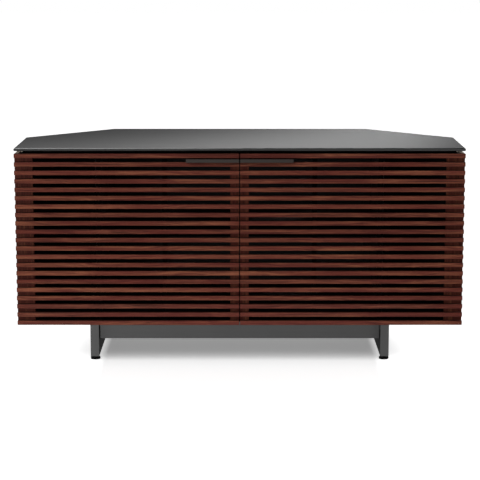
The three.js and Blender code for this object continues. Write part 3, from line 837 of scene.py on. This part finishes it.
def slat_bar(tree, given):
    path = result_of(tree, "GeometryNodeCurvePrimitiveLine", {"End": (1, 0, 0)})
    resampling = {"Curve": path, "Count": PATH_POINTS}
    path = result_of(tree, "GeometryNodeResampleCurve", resampling)
    index = result_of(tree, "GeometryNodeInputIndex")
    from_middle = calc(tree, "SUBTRACT", index, MIDDLE_INDEX)
    at_end = calc(tree, "SUBTRACT", calc(tree, "ABSOLUTE", from_middle), INNER_INDEX)
    drawn_in = calc(tree, "MULTIPLY", calc(tree, "SUBTRACT", 1.0, at_end), given["Edge"])
    reach = calc(tree, "SUBTRACT", calc(tree, "DIVIDE", given["Length"], 2.0), drawn_in)
    along = calc(tree, "MULTIPLY", calc(tree, "SIGN", from_middle), reach)
    setting = {"Geometry": path, "Position": vector_of(tree, X=along)}
    path = result_of(tree, "GeometryNodeSetPosition", setting)
    lost = calc(tree, "DIVIDE", calc(tree, "MULTIPLY", given["Edge"], 2.0), given["Height"])
    thickness = calc(tree, "SUBTRACT", 1.0, calc(tree, "MULTIPLY", at_end, lost))

    sides = {"Width": given["Depth"], "Height": given["Height"]}
    outline = result_of(tree, "GeometryNodeCurvePrimitiveQuadrilateral", sides)
    rounding = {"Curve": outline, "Radius": given["Edge"], "Count": SLAT_EDGE_STEPS}
    outline = result_of(tree, "GeometryNodeFilletCurve", rounding, mode="POLY")
    sweep = {"Curve": path, "Profile Curve": outline, "Scale": thickness, "Fill Caps": True}
    return result_of(tree, "GeometryNodeCurveToMesh", sweep)


print("a bar's path has", PATH_POINTS, "points")

# %% Slat tree
SHIFT_REACH = 9.0
TONE_REACH = 0.045
SLAT_SOCKETS = {
    "Length": "Float",
    "Depth": "Float",
    "Height": "Float",
    "Edge": "Float",
    "Pitch": "Float",
    "Count": "Int",
    "Seed": "Int",
    "First": "Vector",
}


def with_own(tree, copies, name, value, kind):
    storing = {"Geometry": copies, "Name": name, "Value": value}
    store = "GeometryNodeStoreNamedAttribute"
    return result_of(tree, store, storing, data_type=kind, domain="INSTANCE")


def slat_tree(material):
    tree, given = new_tree("slat_rows", SLAT_SOCKETS)
    down = vector_of(tree, Z=calc(tree, "MULTIPLY", given["Pitch"], -1.0))
    line = {"Count": given["Count"], "Start Location": given["First"], "Offset": down}
    rows = result_of(tree, "GeometryNodeMeshLine", line)
    copies = on_points(tree, rows, slat_bar(tree, given))
    reach = {0: (0.0, 0.0, 0.0), 1: (SHIFT_REACH,) * 3, "Seed": given["Seed"]}
    shift = result_of(tree, "FunctionNodeRandomValue", reach, data_type="FLOAT_VECTOR")
    tone = chance(tree, -TONE_REACH, TONE_REACH, calc(tree, "ADD", given["Seed"], 1.0))
    copies = with_own(tree, copies, "slat_shift", shift, "FLOAT_VECTOR")
    copies = with_own(tree, copies, "slat_tone", tone, "FLOAT")
    return close_tree(tree, copies, material)


slat_rows = slat_tree(SLAT_WALNUT)
print(slat_rows.name, "has", len(slat_rows.nodes), "nodes")

# %% Slats of both doors
SLAT_COUNT = 21
SLAT_EDGE = 1.1 * MM
SLAT_SEED = 7
door_slats = []
for side in OUTWARD:
    first_low, first_high = door_box(side, "top_rail")
    last_high = door_box(side, "bottom_rail")[1]
    stile_front = door_box(side, "outer_stile")[0].y
    depth = stile_front - BOARD_FIT - first_low.y
    values = {
        "Length": span(first_low.x, first_high.x),
        "Depth": depth,
        "Height": span(first_low.z, first_high.z),
        "Edge": SLAT_EDGE,
        "Pitch": (first_high.z - last_high.z) / (SLAT_COUNT - 1),
        "Count": SLAT_COUNT,
        "Seed": SLAT_SEED,
        "First": (
            (first_low.x + first_high.x) / 2,
            first_low.y + depth / 2,
            (first_low.z + first_high.z) / 2,
        ),
    }
    slats = run_tree(f"{side}_slat_rows", slat_rows, values)
    weigh_normals(slats)
    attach(slats, f"{side}_door")
    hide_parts(f"{side}_slats", f"{side}_top_rail", f"{side}_bottom_rail")
    door_slats.append(slats)
    print(slats.name, len(slats.data.polygons), "faces")

# %% [markdown]
# The slats have a key of their own, which hangs higher than the other one. From there the pulls,
# which stand out by half an inch, shade the slat under them. A low strip in front lights the
# lowest slats, as a white floor would.

# %% Panels for the slats
HIGH_KEY = {"place": DOORS_FOOT + Vector((-2.0, -2.7, 2.4)), "size": (2.0, 1.2), "power": 73}
LOW_SLATS = DOORS_FOOT + Vector((-0.15, 0.0, 0.13))
LOW = {"place": DOORS_FOOT + Vector((-0.15, -0.3, 0.03)), "size": (1.6, 0.06), "power": 1.1}

slats_alone = link_group("the_slats_alone", door_slats, "INCLUDE")
softbox("slat_panel", DOOR_HEART, **HIGH_KEY, lights=slats_alone)
softbox("low_strip", LOW_SLATS, **LOW, lights=slats_alone)
link_group(OFF_THE_KEY, door_slats, "EXCLUDE")


# %% [markdown]
# ## Door frames
# Behind the slats stand two stiles, a rail at the top and at the bottom, and two black battens
# that keep the long slats in line. The stiles are fixed boards. The rails and battens are new
# pieces, because the first and last slat are now part of the rows. A tree could make them too,
# but nothing in them repeats often: they are boxes, rounded as they are made.

# %% Plain box with rounded edges
ROUND_PROFILE = 0.5


def new_piece(name, work, material):
    mesh = bpy.data.meshes.new(name)
    work.to_mesh(mesh)
    work.free()
    mesh.materials.append(material)
    piece = bpy.data.objects.new(name, mesh)
    bpy.context.scene.collection.objects.link(piece)
    weigh_normals(piece)
    return piece


def eased_box(name, low, high, edge, material):
    box = bmesh.new()
    bmesh.ops.create_cube(box, size=1.0)
    size = [h - l for l, h in zip(low, high)]
    middle = [(l + h) / 2 for l, h in zip(low, high)]
    bmesh.ops.scale(box, vec=size, verts=box.verts)
    bmesh.ops.translate(box, vec=middle, verts=box.verts)
    bmesh.ops.bevel(
        box,
        geom=box.edges[:],
        offset=edge,
        segments=EDGE_SEGMENTS,
        profile=ROUND_PROFILE,
        affect="EDGES",
    )
    return new_piece(name, box, material)


print("boxes are rounded in", EDGE_SEGMENTS, "steps")

# %% Rails
FRAME_EASE = 0.8 * MM


def opening_of(side, outward):
    meeting_low, meeting_high = door_box(side, "meeting_stile")
    outer_low, outer_high = door_box(side, "outer_stile")
    if outward > 0:
        return meeting_high.x, outer_low.x
    return meeting_low.x, outer_high.x


def add_rails(side, outward):
    left, right = sorted(opening_of(side, outward))
    front = door_box(side, "outer_stile")[0].y
    for end in ("top", "bottom"):
        low, high = door_box(side, f"{end}_rail")
        rail = eased_box(
            f"{side}_{end}_rail_back",
            (left + BOARD_FIT, front, low.z),
            (right - BOARD_FIT, high.y, high.z),
            FRAME_EASE,
            RAIL_WALNUT_PAINTED_SHADE,
        )
        # Painted shade: the rail's upper face, in the gap by the last slat, is dead black
        second_finish(rail, BLACK_BATTEN_AND_PAINTED_SHADE, lambda normal: normal.z > FACING_SHARE)
        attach(rail, f"{side}_door")


print("rails keep", BOARD_FIT / MM, "mm off the stiles")

# %% Battens
BATTEN_WIDTH = 14 * MM
BATTEN_DEPTH = 12 * MM
BATTEN_EASE = 0.6 * MM
BATTEN_PLACE_SHARES = (1 / 3, 2 / 3)


def add_battens(side, outward):
    inner_edge, outer_edge = opening_of(side, outward)
    top = door_box(side, "top_rail")[0].z - BOARD_FIT
    bottom = door_box(side, "bottom_rail")[1].z + BOARD_FIT
    front = door_box(side, "outer_stile")[0].y - BOARD_FIT
    for number, share in enumerate(BATTEN_PLACE_SHARES, 1):
        x = inner_edge + share * (outer_edge - inner_edge)
        batten = eased_box(
            f"{side}_batten_{number}",
            (x - BATTEN_WIDTH / 2, front, bottom),
            (x + BATTEN_WIDTH / 2, front + BATTEN_DEPTH, top),
            BATTEN_EASE,
            BLACK_BATTEN_AND_PAINTED_SHADE,
        )
        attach(batten, f"{side}_door")
        print(batten.name, "at x =", round(x / MM, 1), "mm")


for side, outward in OUTWARD.items():
    add_rails(side, outward)
    add_battens(side, outward)
    for piece in ("outer_stile", "meeting_stile"):
        finish_node(f"{side}_{piece}", STILE_WALNUT_PAINTED_SHADE, FRAME_EASE)


# %% [markdown]
# ## Base, pulls and hardware
# These could be drawn afresh, but their holes and folds are right as they are. They keep the
# fixed shapes with a rounder edge, because folded and welded steel is never sharp under its
# coat. The loops' inner faces, which look at each other under the cabinet, are near black:
# painted shade.

# %% Metal pieces
COATED_EASE = 0.6 * MM
TUBE_EASE = 1.2 * MM
TUBE_SEGMENTS = 3
SHEET_EASE = 0.35 * MM
for name in ("front_beam", "rear_beam"):
    finish_node(name, POWDER, COATED_EASE)
for side, outward in OUTWARD.items():
    loop = finish_node(f"{side}_leg_frame", POWDER, TUBE_EASE, TUBE_SEGMENTS)
    # Painted shade on the loops' inner faces
    second_finish(loop, LOOP_PAINTED_SHADE, lambda normal: normal.x * outward < -FACING_SHARE)
    finish_node(f"{side}_pull", PULL_POWDER, COATED_EASE)
    finish_node(f"{side}_strike_plate", ZINC, SHEET_EASE)
    finish_node(f"{side}_magnet_catch", RUBBER, COATED_EASE)
    for end in ("top", "bottom"):
        finish_node(f"{side}_{end}_pivot_arm", YELLOW_ZINC, SHEET_EASE)
        finish_node(f"{side}_{end}_pivot_plate", YELLOW_ZINC, SHEET_EASE)
shelf_pins = [name for name in frame["nodes"] if "shelf_pin" in name]
for name in shelf_pins:
    finish_node(name, ZINC, SHEET_EASE)
print("shelf pins:", len(shelf_pins))


# %% [markdown]
# ## Screws
# A countersunk head is a short cone with a cross cut into it. The cross could be a dark stripe
# in a material, but then light wouldn't fall into it. One tree cuts it, sets a head on every
# point that it is given, turns it to face its way and spins it by chance, since no one lines
# screws up. Heads stand a hair proud of the sheet that they hold.

# %% One screw head
HEAD_SIDES = 28
CROSS_LENGTH_SHARE = 1.25
CROSS_WIDTH_SHARE = 0.26
CROSS_DEPTH_SHARE = 0.7
HEAD_DEPTH_SHARE = 0.6
SHANK_SHARE = 0.5


def screw_head(tree, radius):
    depth = calc(tree, "MULTIPLY", radius, HEAD_DEPTH_SHARE)
    cone = {
        "Vertices": HEAD_SIDES,
        "Radius Top": radius,
        "Radius Bottom": calc(tree, "MULTIPLY", radius, SHANK_SHARE),
        "Depth": depth,
    }
    head = result_of(tree, "GeometryNodeMeshCone", cone)
    head = lifted(tree, head, calc(tree, "MULTIPLY", depth, -1.0))
    long = calc(tree, "MULTIPLY", radius, CROSS_LENGTH_SHARE)
    thin = calc(tree, "MULTIPLY", radius, CROSS_WIDTH_SHARE)
    deep = calc(tree, "MULTIPLY", depth, CROSS_DEPTH_SHARE)
    cut = make(tree, "GeometryNodeMeshBoolean", {"Mesh 1": head}, operation="DIFFERENCE")
    for x, y in ((long, thin), (thin, long)):
        size = {"Size": vector_of(tree, X=x, Y=y, Z=deep)}
        bar = result_of(tree, "GeometryNodeMeshCube", size)
        tree.links.new(bar, cut.inputs["Mesh 2"])
    return cut.outputs[0]


print("a screw head has", HEAD_SIDES, "sides")

# %% Screw tree
SCREW_SOCKETS = {
    "Points": "Geometry",
    "Radius": "Float",
    "Facing": "Rotation",
    "Seed": "Int",
    "Material": "Material",
}


def screw_tree():
    tree, given = new_tree("screws", SCREW_SOCKETS)
    head = screw_head(tree, given["Radius"])
    angle = chance(tree, 0.0, QUARTER_TURN, given["Seed"])
    spin = {"Axis": (0, 0, 1), "Angle": angle}
    spin = result_of(tree, "FunctionNodeAxisAngleToRotation", spin)
    turn = {"Rotation": given["Facing"], "Rotate By": spin}
    turned = result_of(tree, "FunctionNodeRotateRotation", turn, rotation_space="LOCAL")
    heads = on_points(tree, given["Points"], head, Rotation=turned)
    return close_tree(tree, heads, given["Material"])


SCREWS = screw_tree()
UP = Vector((0, 0, 1))
BACKWARD = Vector((0, 1, 0))
HEAD_PROUD = 0.15 * MM


# The seed is the number of objects so far, so no two sets are spun alike
def add_screws(name, body, facing, radius, points, material):
    values = {
        "Radius": radius,
        "Facing": facing.to_track_quat("Z", "X").to_euler(),
        "Seed": len(bpy.data.objects),
        "Material": material,
    }
    places = [Vector(point) + facing * HEAD_PROUD for point in points]
    heads = run_tree(name, SCREWS, values, places)
    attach(heads, body)
    print(name, len(points), "screws")
    return heads


# %% Hinge screws
SMALL_HEAD = 2.6 * MM
ARM_SCREW_INSETS = (12 * MM, 32 * MM)
PLATE_SCREW_INSETS = (9 * MM, 24 * MM)


def middle_of(name):
    low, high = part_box(name)
    return (low + high) / 2


def hinge_screws(side, outward):
    for end, facing in (("top", UP), ("bottom", -UP)):
        arm_low, arm_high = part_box(f"{side}_{end}_pivot_arm")
        plate_low, plate_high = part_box(f"{side}_{end}_pivot_plate")
        arm_face = arm_high.z if end == "top" else arm_low.z
        plate_face = plate_high.z if end == "top" else plate_low.z
        x = middle_of(f"{side}_{end}_pivot_arm").x
        points = [(x, arm_high.y - inset, arm_face) for inset in ARM_SCREW_INSETS]
        add_screws(f"{side}_{end}_arm_screws", "carcass", facing, SMALL_HEAD, points, ZINC)
        inner = plate_low.x if outward > 0 else plate_high.x
        y = (plate_low.y + plate_high.y) / 2
        points = [(inner + outward * inset, y, plate_face) for inset in PLATE_SCREW_INSETS]
        add_screws(f"{side}_{end}_plate_screws", f"{side}_door", facing, SMALL_HEAD, points, ZINC)


print("screws in an arm and in a plate:", len(ARM_SCREW_INSETS), len(PLATE_SCREW_INSETS))

# %% Screws of strike plates and pulls, and the base bolts
PULL_HEAD = 3.0 * MM
PULL_SCREW_SHARES = (0.12, 0.5, 0.88)
PULL_SCREW_INSET = 8 * MM
PULL_SHEET = 2 * MM
BOLT_HEAD = 5.5 * MM
BOLT_SHARES = (0.25, 0.75)
LOOP_TOP_BAR = 25 * MM


def strike_screw(side):
    strike = middle_of(f"{side}_strike_plate")
    strike.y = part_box(f"{side}_strike_plate")[1].y
    add_screws(f"{side}_strike_screw", f"{side}_door", BACKWARD, SMALL_HEAD, [strike], ZINC)


def pull_screws(side):
    low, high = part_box(f"{side}_pull")
    y, z = high.y - PULL_SCREW_INSET, low.z + PULL_SHEET
    points = [(low.x + share * span(low.x, high.x), y, z) for share in PULL_SCREW_SHARES]
    add_screws(f"{side}_pull_screws", f"{side}_door", UP, PULL_HEAD, points, BLACK_ZINC)


def base_bolts(side):
    low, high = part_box(f"{side}_leg_frame")
    x, z = (low.x + high.x) / 2, high.z - LOOP_TOP_BAR
    points = [(x, low.y + share * span(low.y, high.y), z) for share in BOLT_SHARES]
    add_screws(f"{side}_base_bolts", "carcass", -UP, BOLT_HEAD, points, BLACK_ZINC)


for side, outward in OUTWARD.items():
    hinge_screws(side, outward)
    strike_screw(side)
    pull_screws(side)
    base_bolts(side)


# %% [markdown]
# Eight screws hold each diagonal back, along its two upright edges. Each catch has one screw
# from below, and two steel blades stand out of its face by a hair, where the strike plate meets
# them.

# %% Screws of the diagonal backs
BACK_HEAD = 3.6 * MM
BACK_SCREW_INSET = 12 * MM
BACK_SCREW_SHARES = (0.06, 0.35, 0.65, 0.94)


def diagonal_back_screws(side, outward):
    facing = Vector((outward, 1, 0)).normalized()
    along = Vector((-outward, 1, 0)).normalized()
    corners = [vertex.co for vertex in frame["nodes"][f"{side}_diagonal_back"].data.vertices]
    reach = max(corner.dot(facing) for corner in corners)
    edge = [corner.dot(along) for corner in corners if reach - corner.dot(facing) < WELD_REACH]
    low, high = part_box(f"{side}_diagonal_back")
    points = [
        facing * reach + along * place + UP * (low.z + share * span(low.z, high.z))
        for place in (min(edge) + BACK_SCREW_INSET, max(edge) - BACK_SCREW_INSET)
        for share in BACK_SCREW_SHARES
    ]
    add_screws(f"{side}_diagonal_back_screws", "carcass", facing, BACK_HEAD, points, BLACK_ZINC)


print("rows of", len(BACK_SCREW_SHARES), "screws along both edges")

# %% Catches
BLADE_INSET = 3 * MM
BLADE_THICK = 1.6 * MM
BLADE_PROUD = 0.2 * MM
BLADE_EASE = 0.1 * MM
BLADE_SHARES = (0.3, 0.7)


def dress_catch(side):
    low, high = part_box(f"{side}_magnet_catch")
    under = [((low.x + high.x) / 2, (low.y + high.y) / 2, low.z)]
    add_screws(f"{side}_catch_screw", "carcass", -UP, SMALL_HEAD, under, BLACK_ZINC)
    for number, share in enumerate(BLADE_SHARES, 1):
        z = low.z + share * span(low.z, high.z)
        blade = eased_box(
            f"{side}_catch_blade_{number}",
            (low.x + BLADE_INSET, low.y - BLADE_PROUD, z - BLADE_THICK / 2),
            (high.x - BLADE_INSET, low.y + BLADE_THICK, z + BLADE_THICK / 2),
            BLADE_EASE,
            ZINC,
        )
        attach(blade, "carcass")


for side, outward in OUTWARD.items():
    diagonal_back_screws(side, outward)
    dress_catch(side)


# %% [markdown]
# ## Feet
# A levelling foot is turned: a black pad with a rounded rim and a low collar. Cylinders with
# bevels could be stacked for it, but a lathe's own way is shorter: half of the outline is drawn
# and carried round the foot's axis. The Spin tool would do that, but it lists its faces in
# another order each time, so here the rings are laid point by point.

# %% Turned pad
PAD_STEPS = 48
COLLAR_RADIUS = 8 * MM
COLLAR_TOP = 10.4 * MM
COLLAR_ROUND = 0.7 * MM
RIM_TOP = 7 * MM
RIM_ROUND = 1.4 * MM
ARC_STEPS = 5


def arc(middle, radius, start, end):
    angles = [start + (end - start) * step / ARC_STEPS for step in range(ARC_STEPS + 1)]
    return [(middle[0] + radius * math.cos(a), middle[1] + radius * math.sin(a)) for a in angles]


def pad_outline(rim):
    collar = (COLLAR_RADIUS - COLLAR_ROUND, COLLAR_TOP - COLLAR_ROUND)
    return [
        (0, 0),
        *arc((rim - RIM_ROUND, RIM_ROUND), RIM_ROUND, -QUARTER_TURN, 0),
        *arc((rim - RIM_ROUND, RIM_TOP - RIM_ROUND), RIM_ROUND, 0, QUARTER_TURN),
        (COLLAR_RADIUS, RIM_TOP + COLLAR_ROUND),
        *arc(collar, COLLAR_ROUND, 0, QUARTER_TURN),
        (0, COLLAR_TOP),
    ]


# The outline begins and ends on the axis, and each point between becomes a ring
def turned_piece(name, outline, material):
    work = bmesh.new()
    angles = [math.tau * step / PAD_STEPS for step in range(PAD_STEPS)]
    rings = [
        [work.verts.new((r * math.cos(a), r * math.sin(a), z)) for a in angles]
        for r, z in outline[1:-1]
    ]
    bottom, top = [work.verts.new((r, 0, z)) for r, z in (outline[0], outline[-1])]
    for step in range(PAD_STEPS):
        before = step - 1
        work.faces.new((bottom, rings[0][step], rings[0][before]))
        for lower, upper in zip(rings, rings[1:]):
            work.faces.new((lower[before], lower[step], upper[step], upper[before]))
        work.faces.new((rings[-1][before], rings[-1][step], top))
    return new_piece(name, work, material)


print("a pad is turned in", PAD_STEPS, "steps")


# %% [markdown]
# The pad sits on a zinc stem. Grooves in a material would leave the stem's outline smooth, so
# the thread is a small diamond swept up a spiral round a plain cylinder. Twelve millimetres of
# it come into sight when the foot is screwed out.

# %% Threaded stem
THREAD_PITCH = 1.5 * MM
THREAD_RIDGE = 0.6 * MM
THREAD_STEPS = 20
RIDGE_SIDES = 4
STEM_SIDES = 24
STEM_RADIUS = 5 * MM
STEM_SOCKETS = {
    "Points": "Geometry",
    "Radius": "Float",
    "Ridge": "Float",
    "Pitch": "Float",
    "Length": "Float",
    "Material": "Material",
}


def thread_tree():
    tree, given = new_tree("threaded_stem", STEM_SOCKETS)
    core = calc(tree, "SUBTRACT", given["Radius"], given["Ridge"])
    climb = {
        "Resolution": THREAD_STEPS,
        "Rotations": calc(tree, "DIVIDE", given["Length"], given["Pitch"]),
        "Start Radius": core,
        "End Radius": core,
        "Height": given["Length"],
    }
    spiral = result_of(tree, "GeometryNodeCurveSpiral", climb)
    diamond = {"Resolution": RIDGE_SIDES, "Radius": given["Ridge"]}
    ridge = result_of(tree, "GeometryNodeCurvePrimitiveCircle", diamond)
    sweep = {"Curve": spiral, "Profile Curve": ridge, "Fill Caps": True}
    thread = result_of(tree, "GeometryNodeCurveToMesh", sweep)
    rod = {"Vertices": STEM_SIDES, "Radius": core, "Depth": given["Length"]}
    stem = result_of(tree, "GeometryNodeMeshCylinder", rod)
    stem = lifted(tree, stem, calc(tree, "DIVIDE", given["Length"], 2.0))
    both = make(tree, "GeometryNodeJoinGeometry")
    for part in (thread, stem):
        tree.links.new(part, both.inputs[0])
    copies = on_points(tree, given["Points"], both.outputs[0])
    return close_tree(tree, copies, given["Material"])


THREADED_STEM = thread_tree()
print(THREADED_STEM.name, "has", len(THREADED_STEM.nodes), "nodes")

# %% Four feet
feet = [f"{side}_{place}_foot" for side in OUTWARD for place in ("front", "rear")]
for body in feet:
    foot_low, foot_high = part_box(body)
    x, y = (foot_low.x + foot_high.x) / 2, (foot_low.y + foot_high.y) / 2
    rim = span(foot_low.x, foot_high.x) / 2
    pad = turned_piece(f"{body}_pad", pad_outline(rim), RUBBER)
    pad.data.transform(Matrix.Translation((x, y, foot_low.z)))
    values = {
        "Radius": STEM_RADIUS,
        "Ridge": THREAD_RIDGE,
        "Pitch": THREAD_PITCH,
        "Length": foot_high.z - foot_low.z - COLLAR_TOP - THREAD_RIDGE,
        "Material": ZINC,
    }
    stem = run_tree(f"{body}_stem", THREADED_STEM, values, [(x, y, foot_low.z + COLLAR_TOP)])
    for piece, slot in ((pad, "black_plastic"), (stem, "steel")):
        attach(piece, body)
    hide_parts(body)
    print(body, "rim", round(rim / MM, 1), "mm,", len(stem.data.polygons), "thread faces")
